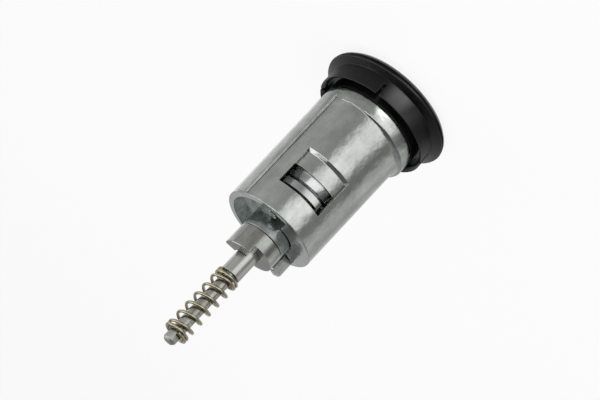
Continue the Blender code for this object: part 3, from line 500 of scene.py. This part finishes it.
mouldedBlackSet = {"deep": (0.002, 0.002, 0.0023), "pale": (0.005, 0.005, 0.0055), "specular": 0.34,
                   "rubbed": (0.03, 0.03, 0.03), "dust": (0.03, 0.029, 0.028), "dustShare": 0.18,
                   "dustRough": 0.08, "spark": (5200.0, 2.0, 0.5), "cloud": (130.0, 3.0, 0.6),
                   "toneRange": (0.35, 0.65), "rough": (0.3, 0.7, 0.16, 0.22), "scratch": 0.6,
                   "grime": 1.0, "rub": 0.5, "rubWidth": 0.2 * mm, "bump": (0.2, 0.03 * mm)}


def makeMouldedBlack():
    # satin moulded plastic: very fine spark grain, light dust and paler rubbed corners
    fixed = {"Specular IOR Level": mouldedBlackSet["specular"]}
    material, tree, shader = newMaterial("mouldedBlack", 0.0, **fixed)
    place = objectPlace(tree)
    spark = noise(tree, place, *mouldedBlackSet["spark"])
    cloud = noise(tree, place, *mouldedBlackSet["cloud"])
    hands = use(tree, handling, Scratch=mouldedBlackSet["scratch"], Grime=mouldedBlackSet["grime"])
    wear = use(tree, edgeRub, Amount=mouldedBlackSet["rub"], Width=mouldedBlackSet["rubWidth"])
    tone = remap(tree, cloud, *mouldedBlackSet["toneRange"])
    colour = mixColour(tree, tone, mouldedBlackSet["deep"], mouldedBlackSet["pale"])
    dust = times(tree, hands["Film"], mouldedBlackSet["dustShare"])
    colour = mixColour(tree, dust, colour, mouldedBlackSet["dust"])
    colour = mixColour(tree, wear["Rub"], colour, mouldedBlackSet["rubbed"])
    tree.links.new(colour, shader.inputs["Base Color"])
    rough = remap(tree, cloud, *mouldedBlackSet["rough"])
    rough = plus(tree, rough, times(tree, hands["Film"], mouldedBlackSet["dustRough"]), True)
    tree.links.new(rough, shader.inputs["Roughness"])
    addBump(tree, shader, minus(tree, spark, hands["Line"]), *mouldedBlackSet["bump"])
    return material


mouldedBlack = makeMouldedBlack()
print("finishes done")


# solid pieces: welded, bevelled copies of the CAD nodes
refineSet = {"weld": 0.002 * mm, "flatAngle": 0.4, "sharpAngle": 38.0, "roundStep": 4.2, "segments": 2,
             "profile": 0.6, "leastAcross": 0.05, "leastReach": 0.8 * mm}
tiny = 1e-30  # stands in for a length of 0 where something is divided by it


def readNode(name):
    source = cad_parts[name].data
    shape = bmesh.new()
    shape.from_mesh(source)
    bmesh.ops.remove_doubles(shape, verts=shape.verts, dist=refineSet["weld"])
    bmesh.ops.dissolve_limit(shape, angle_limit=math.radians(refineSet["flatAngle"]),
                             verts=shape.verts, edges=shape.edges)
    return shape


def roundEdges(shape, width):
    sharp = math.radians(refineSet["sharpAngle"])
    hard = [edge for edge in shape.edges if edge.is_manifold and edge.calc_face_angle(0.0) > sharp]
    if hard and width:
        bmesh.ops.bevel(shape, geom=hard, offset=width, segments=refineSet["segments"],
                        profile=refineSet["profile"], affect="EDGES", clamp_overlap=False, loop_slide=True)
    bmesh.ops.triangulate(shape, faces=shape.faces)


def trueNormals(mesh, axes):
    # every facet of a turned face gets the normals of the round face it stands for
    corners = np.empty(len(mesh.loops), np.int32)
    mesh.loops.foreach_get("vertex_index", corners)
    points = np.empty(len(mesh.vertices) * 3)
    mesh.vertices.foreach_get("co", points)
    points = points.reshape(-1, 3)
    faces = corners.reshape(-1, 3)
    a, b, c = (points[faces[:, i]] for i in range(3))
    normal = np.cross(b - a, c - a)
    area = np.linalg.norm(normal, axis=1)
    spread = np.repeat(normal / np.maximum(area, tiny)[:, None], 3, axis=0)
    at = points[corners]
    across = np.hypot(spread[:, 0], spread[:, 1])
    done = np.zeros(len(spread), bool)
    limit = math.cos(math.radians(refineSet["roundStep"]))
    for centreX, centreY in axes:
        out = np.stack([at[:, 0] - centreX, at[:, 1] - centreY], 1)
        reach = np.linalg.norm(out, axis=1)
        out = out / np.maximum(reach, tiny)[:, None]
        facing = (out * spread[:, :2]).sum(1) / np.maximum(across, tiny)
        good = (np.abs(facing) > limit) & ~done
        good &= (across > refineSet["leastAcross"]) & (reach > refineSet["leastReach"])
        whole = good.reshape(-1, 3).all(1).repeat(3)
        turned = out * (across * np.sign(facing))[:, None]
        spread[whole, 0] = turned[whole, 0]
        spread[whole, 1] = turned[whole, 1]
        done |= whole
    # corners that meet at a gentle angle share one normal, and larger facets count for more
    weights = area.repeat(3) ** 0.5
    order = np.argsort(corners, kind="stable")
    starts = np.searchsorted(corners[order], np.arange(len(points) + 1))
    limit = math.cos(math.radians(refineSet["sharpAngle"]))
    final = spread.copy()
    for i in range(len(points)):
        here = order[starts[i]:starts[i + 1]]
        near = spread[here] @ spread[here].T > limit
        mixed = near @ (spread[here] * weights[here][:, None])
        final[here] = mixed / np.maximum(np.linalg.norm(mixed, axis=1), tiny)[:, None]
    mesh.polygons.foreach_set("use_smooth", np.ones(len(mesh.polygons), bool))
    mesh.normals_split_custom_set(final.tolist())


def finishPiece(name, mesh, material, body, node):
    mesh.materials.clear()
    mesh.materials.append(material)
    piece = addObject(name, mesh)
    if body:
        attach(piece, body)
    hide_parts(node)
    print("piece", name, len(mesh.polygons))
    return piece


def refine(node, name, material, body, pieceSet):
    shape = readNode(node)
    if "seatBelow" in pieceSet:  # points below this height move down, to close up to the piece beneath
        for point in shape.verts:
            if point.co.z < pieceSet["seatBelow"]:
                point.co.z -= pieceSet["seatDrop"]
    roundEdges(shape, pieceSet["edge"])
    mesh = bpy.data.meshes.new(name)
    shape.to_mesh(mesh)
    shape.free()
    trueNormals(mesh, pieceSet.get("axes", ((0.0, 0.0),)))  # the lock axis, unless the piece names others
    return finishPiece(name, mesh, material, body, node)


# the axes are those of the collar, the barrel and the rear bore, which don't share a centre
barrelSet = {"edge": 0.1 * mm, "axes": ((0.0, 0.0), (0.62 * mm, 0.0), (0.45 * mm, 0.0))}
refine("housing", "barrelCasting", castZinc, "barrel", barrelSet)
bezelSet = {"edge": 0.14 * mm}
refine("bezel", "bezelMoulding", mouldedBlack, "barrel", bezelSet)
stopPegSet = {"edge": 0.06 * mm, "axes": ((1.985 * mm, -8.953 * mm),)}
refine("stop_pin", "stopPeg", turnedSteel, "barrel", stopPegSet)
keyRotorSet = {"edge": 0.08 * mm}
refine("rotor", "keyRotor", rotorZinc, "rotor", keyRotorSet)
faceCapSet = {"edge": 0.08 * mm}
refine("rotor_cap", "faceCap", turnedSteel, "rotor", faceCapSet)
stopCamSet = {"edge": 0.04 * mm}
refine("stop_cam", "stopCam", camZinc, "rotor", stopCamSet)
tailDriverSet = {"edge": 0.04 * mm, "seatBelow": 49.85 * mm, "seatDrop": 0.18 * mm}
refine("driver", "tailDriver", tailZinc, "rotor", tailDriverSet)
crossPinSet = {"edge": 0.06 * mm}
refine("driver_pin", "crossPin", turnedSteel, "rotor", crossPinSet)
shutterPinSet = {"edge": 0.04 * mm}
refine("shutter_pin", "shutterPin", turnedSteel, "rotor", shutterPinSet)
pushRodSet = {"edge": 0.08 * mm}
refine("rod", "pushRod", turnedSteel, "push_rod", pushRodSet)
slotShutterSet = {"edge": 0.05 * mm}
refine("shutter", "slotShutter", turnedSteel, "shutter", slotShutterSet)
waferSet = {"edge": 0.05 * mm, "count": 6}
for i in range(1, waferSet["count"] + 1):
    refine(f"wafer_{i}", f"waferPlate{i}", brassSheet, f"wafer_{i}", waferSet)
print("solid pieces done")


def makeCoilTree():
    # closed turns at both ends, open turns between, and a short ramp where the pitch changes
    tree, start, end = newTree("coilSpring", "GeometryNodeTree")
    sizes = (("Radius", 2.8 * mm), ("Wire", 0.37 * mm), ("Low", 0.0), ("Turns", 9.0),
             ("Closed Turns", 1.5), ("Ramp Turns", 0.4), ("Closed Pitch", 0.8 * mm),
             ("Open Pitch", 2.9 * mm), ("Start Angle", 0.0))
    for label, value in sizes:
        socket(tree, label, "Float", "INPUT", value)
    for label, value in (("Points", 400), ("Round", 16)):
        socket(tree, label, "Int", "INPUT", value)
    socket(tree, "Material", "Material", "INPUT")
    socket(tree, "Geometry", "Geometry", "OUTPUT")
    get = start.outputs
    line = geo(tree, "CurvePrimitiveLine", {"End": (0.0, 0.0, 1.0)})
    dense = geo(tree, "ResampleCurve", {"Curve": line.outputs[0], "Count": get["Points"]})
    turn = times(tree, geo(tree, "SplineParameter").outputs["Factor"], get["Turns"])

    def ramped(value):
        # 0 before the ramp, an eased start on it, and then one for one
        held = calc(tree, "MINIMUM", calc(tree, "MAXIMUM", value, 0.0), get["Ramp Turns"])
        eased = calc(tree, "DIVIDE", times(tree, held, held), times(tree, get["Ramp Turns"], 2.0))
        after = calc(tree, "MAXIMUM", minus(tree, value, get["Ramp Turns"]), 0.0)
        return plus(tree, eased, after)

    def stored(curve, label):
        share = geo(tree, "SplineParameter").outputs["Factor"]
        inputs = {"Geometry": curve.outputs[0], "Name": label, "Value": share}
        return geo(tree, "StoreNamedAttribute", inputs, data_type="FLOAT", domain="POINT").outputs[0]

    opening = ramped(minus(tree, turn, get["Closed Turns"]))
    lastOpen = minus(tree, get["Turns"], plus(tree, get["Closed Turns"], get["Ramp Turns"]))
    closing = ramped(minus(tree, turn, lastOpen))
    wider = minus(tree, get["Open Pitch"], get["Closed Pitch"])
    extra = times(tree, minus(tree, opening, closing), wider)
    rise = plus(tree, times(tree, turn, get["Closed Pitch"]), extra)
    height = plus(tree, rise, get["Low"])
    angle = plus(tree, times(tree, turn, 2 * math.pi), get["Start Angle"])
    x = times(tree, calc(tree, "SINE", angle), get["Radius"])
    y = times(tree, calc(tree, "COSINE", angle), times(tree, get["Radius"], -1.0))
    spot = put(tree, "CombineXYZ", {"X": x, "Y": y, "Z": height})
    moved = geo(tree, "SetPosition", {"Geometry": dense.outputs[0], "Position": spot.outputs[0]})
    ring = geo(tree, "CurvePrimitiveCircle", {"Resolution": get["Round"], "Radius": get["Wire"]})
    tube = geo(tree, "CurveToMesh", {"Curve": stored(moved, "wireAlong"),
                                     "Profile Curve": stored(ring, "wireAround"), "Fill Caps": True})
    smooth = geo(tree, "SetShadeSmooth", {"Geometry": tube.outputs[0]})
    real = geo(tree, "RealizeInstances", {"Geometry": smooth.outputs[0]})
    dressed = geo(tree, "SetMaterial", {"Geometry": real.outputs[0], "Material": get["Material"]})
    tree.links.new(dressed.outputs[0], end.inputs[0])
    return tree


coilTree = makeCoilTree()
coilWeld = 0.0001 * mm


def growCoil(name, values, material, place=None):
    # the tree's result becomes a plain mesh, and its maker is removed
    holder = addObject(name + "Maker", bpy.data.meshes.new(name + "Maker"))
    modifier = holder.modifiers.new("coil", "NODES")
    modifier.node_group = coilTree
    inputs = (item for item in coilTree.interface.items_tree if item.in_out == "INPUT")
    keys = {item.name: item.identifier for item in inputs}
    for label, value in {**values, "Material": material}.items():
        modifier[keys[label]] = value
    bpy.context.view_layer.update()
    graph = bpy.context.evaluated_depsgraph_get()
    mesh = bpy.data.meshes.new_from_object(holder.evaluated_get(graph))
    mesh.name = name
    holder.modifiers.remove(modifier)
    bpy.data.objects.remove(holder, do_unlink=True)
    shape = bmesh.new()
    shape.from_mesh(mesh)
    bmesh.ops.remove_doubles(shape, verts=shape.verts, dist=coilWeld)
    bmesh.ops.recalc_face_normals(shape, faces=shape.faces)
    shape.to_mesh(mesh)
    shape.free()
    if place is not None:
        mesh.transform(place)
    return mesh


rodSpringSet = {"Radius": 2.8 * mm, "Wire": 0.37 * mm, "Low": 61.15 * mm, "Closed Turns": 1.5,
                "Ramp Turns": 0.4, "Closed Pitch": 0.8 * mm, "Open Pitch": 2.9 * mm,
                "Start Angle": math.radians(63), "Points": 520, "Round": 18}
rodSpringHigh = 79.53 * mm
# as many turns as fill the height between its two ends
closedRise = 2 * rodSpringSet["Closed Turns"] * rodSpringSet["Closed Pitch"]
rampRise = rodSpringSet["Ramp Turns"] * (rodSpringSet["Closed Pitch"] + rodSpringSet["Open Pitch"])
openTurns = (rodSpringHigh - rodSpringSet["Low"] - closedRise - rampRise) / rodSpringSet["Open Pitch"]
rodSpringSet["Turns"] = 2 * rodSpringSet["Closed Turns"] + 2 * rodSpringSet["Ramp Turns"] + openTurns
rodCoil = growCoil("rodCoil", rodSpringSet, yellowWire)
finishPiece("rodCoil", rodCoil, yellowWire, "push_rod", "rod_spring")

waferSeatSet = {"from": -3.15 * mm, "to": 1.05 * mm, "offset": 3.95 * mm, "first": 11.5 * mm,
                "pitch": 3.2 * mm}
waferSpringSet = {"Radius": 0.55 * mm, "Wire": 0.1 * mm, "Low": 0.0, "Turns": 4.0, "Closed Turns": 0.0,
                  "Ramp Turns": 0.05, "Start Angle": 0.0, "Points": 72, "Round": 8}
waferPitch = (waferSeatSet["to"] - waferSeatSet["from"]) / waferSpringSet["Turns"]
waferSpringSet["Closed Pitch"] = waferPitch
waferSpringSet["Open Pitch"] = waferPitch


def makeWaferCoil(i):
    # one end sits in the rotor and the other against the wafer
    side = Matrix.Rotation(0.0 if i % 2 == 0 else math.pi, 4, "Z")
    height = waferSeatSet["first"] + i * waferSeatSet["pitch"]
    seat = Vector((waferSeatSet["from"], waferSeatSet["offset"], height))
    lying = Matrix.Translation(seat) @ Matrix.Rotation(math.pi / 2, 4, "Y")
    name = f"waferCoil{i + 1}"
    mesh = growCoil(name, waferSpringSet, springWire, side @ lying)
    coil = finishPiece(name, mesh, springWire, None, f"wafer_spring_{i + 1}")
    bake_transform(coil)


for i in range(waferSet["count"]):
    makeWaferCoil(i)
shutterSpringSet = {"edge": 0.0}
refine("shutter_spring", "shutterCoil", springWire, "shutter", shutterSpringSet)
print("springs done")


studioSet = {"floorShade": 0.88, "floorRough": 0.9, "floorHalf": 3.0, "floorDrop": 0.02 * mm, "lift": 0.9,
             "sky": 0.42, "skyTint": (0.975, 0.985, 1.0, 1.0), "wall": 0.6, "wallRange": (-0.1, 0.6),
             "ceiling": 0.4, "ceilingRange": (0.45, 0.85)}


def addSheet(name, points, faces):
    data = bpy.data.meshes.new(name)
    data.from_pydata(points, [], faces)
    return addObject(name, data)


def makeFloor():
    half = studioSet["floorHalf"]
    points = [(-half, -half, 0.0), (half, -half, 0.0), (half, half, 0.0), (-half, half, 0.0)]
    floor = addSheet("floor", points, [(0, 1, 2, 3)])
    floor.location.z = -studioSet["floorDrop"]
    fixed = {"Base Color": (studioSet["floorShade"],) * 3 + (1.0,), "Roughness": studioSet["floorRough"]}
    material, tree, shader = newMaterial("paleFloor", 0.0, **fixed)
    path = put(tree, "LightPath").outputs
    seen = calc(tree, "MAXIMUM", path["Is Camera Ray"], path["Is Glossy Ray"])
    seen = calc(tree, "MAXIMUM", seen, path["Is Transmission Ray"])
    glow = put(tree, "Emission", {"Color": (1.0, 1.0, 1.0, 1.0), "Strength": 1.0})
    mix = put(tree, "MixShader", {0: times(tree, seen, studioSet["lift"]),
                                  1: shader.outputs[0], 2: glow.outputs[0]})
    tree.links.new(mix.outputs[0], tree.nodes["Material Output"].inputs["Surface"])
    floor.data.materials.append(material)


def glossyOnly(card, strength):
    # seen only in reflections, as a photographer sets cards round a shiny part
    material, tree = newMaterial(card.name, 0.0)[:2]
    glow = put(tree, "Emission", {"Color": (1.0, 1.0, 0.99, 1.0), "Strength": strength})
    tree.links.new(glow.outputs[0], tree.nodes["Material Output"].inputs["Surface"])
    card.data.materials.append(material)
    for ray in ("visible_camera", "visible_diffuse", "visible_shadow", "visible_transmission"):
        setattr(card, ray, False)
    return tree, glow


# shades go by direction, in degrees from the camera's side: below 0 is towards -X and above 0 towards +X
floorCardSet = {"near": 17.7 * mm, "far": 300 * mm, "height": 0.3 * mm, "steps": 90,
                "nearFade": (24 * mm, 42 * mm, 0.45, 1.0), "contact": (18 * mm, 25 * mm, 0.15, 1.0),
                "patchStart": (-27, -12), "patchStop": (2, 19), "patchNear": (22.5 * mm, 24 * mm),
                "patchFade": (25 * mm, 40 * mm, 4.8, 1.5),
                "shades": ((-180, 0.9), (-118, 0.6), (-100, 0.88), (-88, 0.85), (-78, 0.72), (-70, 0.36),
                           (-56, 0.34), (-49, 0.45), (-43, 0.95), (-37, 1.42), (-32, 1.78), (-7, 1.8),
                           (-3, 1.55), (2, 0.6), (15, 0.52), (34, 0.6), (62, 0.74), (84, 0.68), (97, 0.58),
                           (108, 0.92), (150, 1.1), (180, 0.9))}


def makeFloorCard():
    # one round card, brightest on the camera's side and darkest towards -X, with greys elsewhere
    points = []
    faces = []
    steps = floorCardSet["steps"]
    for i in range(steps):
        angle = 2 * math.pi * i / steps
        for reach in (floorCardSet["near"], floorCardSet["far"]):
            points.append((reach * math.sin(angle), -reach * math.cos(angle), floorCardSet["height"]))
        j = (i + 1) % steps
        faces.append((2 * i, 2 * i + 1, 2 * j + 1, 2 * j))
    tree, glow = glossyOnly(addSheet("floorCard", points, faces), 1.0)
    spot = xyz(tree, objectPlace(tree))
    turn = calc(tree, "ARCTAN2", spot["X"], times(tree, spot["Y"], -1.0))
    ramp = put(tree, "ValToRGB", {0: remap(tree, turn, -math.pi, math.pi)})
    stops = ramp.color_ramp.elements
    stops.remove(stops[-1])
    for i, (angle, shade) in enumerate(floorCardSet["shades"]):
        stop = stops[0] if i == 0 else stops.new(angle / 360 + 0.5)
        stop.color = (shade / 2, shade / 2, shade / 2, 1.0)  # halved to fit the ramp, and doubled after it
    level = times(tree, put(tree, "RGBToBW", {0: ramp.outputs[0]}).outputs[0], 2.0)
    reach = axisReach(tree, spot["X"], spot["Y"])
    level = times(tree, level, remap(tree, reach, *floorCardSet["nearFade"]))
    level = times(tree, level, remap(tree, reach, *floorCardSet["contact"]))
    # small bright patch close in, for the light that the bezel's skirt reflects
    begin = [math.radians(angle) for angle in floorCardSet["patchStart"]]
    stop = [math.radians(angle) for angle in floorCardSet["patchStop"]]
    patch = times(tree, remap(tree, turn, *begin), remap(tree, turn, *stop, 1.0, 0.0))
    patch = times(tree, patch, remap(tree, reach, *floorCardSet["patchNear"]))
    patch = times(tree, patch, remap(tree, reach, *floorCardSet["patchFade"]))
    tree.links.new(calc(tree, "MAXIMUM", level, patch), glow.inputs["Strength"])


panelSet = {"reach": 0.6, "centreHeight": 0.03, "steps": 8}
frontPanelSet = {"shade": 2.1, "turn": (-25, 24), "rise": (6, 34)}
sidePanelSet = {"shade": 2.4, "turn": (18, 125), "rise": (26, 58)}


def makePanel(name, sides):
    # curved panel standing round the object between the given directions and heights, in degrees
    points = []
    faces = []
    steps = panelSet["steps"]

    def between(pair, i):
        return math.radians(pair[0] + (pair[1] - pair[0]) * i / steps)

    for i in range(steps + 1):
        turn = between(sides["turn"], i)
        for k in range(steps + 1):
            rise = between(sides["rise"], k)
            flat = panelSet["reach"] * math.cos(rise)
            height = panelSet["centreHeight"] + panelSet["reach"] * math.sin(rise)
            points.append((flat * math.sin(turn), -flat * math.cos(turn), height))
    for i in range(steps):
        for k in range(steps):
            corner = i * (steps + 1) + k
            faces.append((corner, corner + 1, corner + steps + 2, corner + steps + 1))
    glossyOnly(addSheet(name, points, faces), sides["shade"])


lampSet = {"place": (-0.15, -0.25, 0.62), "aim": (0.0, 0.0, 0.03), "size": 0.5, "power": 2.2}


def makeLamp():
    data = bpy.data.lights.new("topSoftbox", "AREA")
    data.energy = lampSet["power"]
    data.size = lampSet["size"]
    lamp = addObject("topSoftbox", data)
    lamp.location = lampSet["place"]
    lamp.rotation_mode = "QUATERNION"
    lamp.rotation_quaternion = (Vector(lampSet["aim"]) - Vector(lampSet["place"])).to_track_quat("-Z", "Y")
    lamp.visible_camera = False
    lamp.visible_glossy = False


def makeSky():
    # even light from all round; reflections see a brighter wall behind the object and a dark ceiling
    world = bpy.data.worlds.new("studioSky")
    bpy.context.scene.world = world
    world.use_nodes = True
    tree = world.node_tree
    background = tree.nodes["Background"]
    background.inputs["Color"].default_value = studioSet["skyTint"]
    towards = xyz(tree, put(tree, "TexCoord").outputs["Generated"])
    wall = remap(tree, towards["Y"], *studioSet["wallRange"], studioSet["sky"], studioSet["wall"])
    ceiling = remap(tree, towards["Z"], *studioSet["ceilingRange"], 1.0, studioSet["ceiling"])
    glossy = put(tree, "LightPath").outputs["Is Glossy Ray"]
    level = mixValue(tree, glossy, studioSet["sky"], times(tree, wall, ceiling))
    tree.links.new(level, background.inputs["Strength"])


makeFloor()
makeFloorCard()
makePanel("frontPanel", frontPanelSet)
makePanel("sidePanel", sidePanelSet)
makeLamp()
makeSky()
bpy.context.scene.view_settings.view_transform = "Standard"
print("studio done")

bpy.context.view_layer.update()
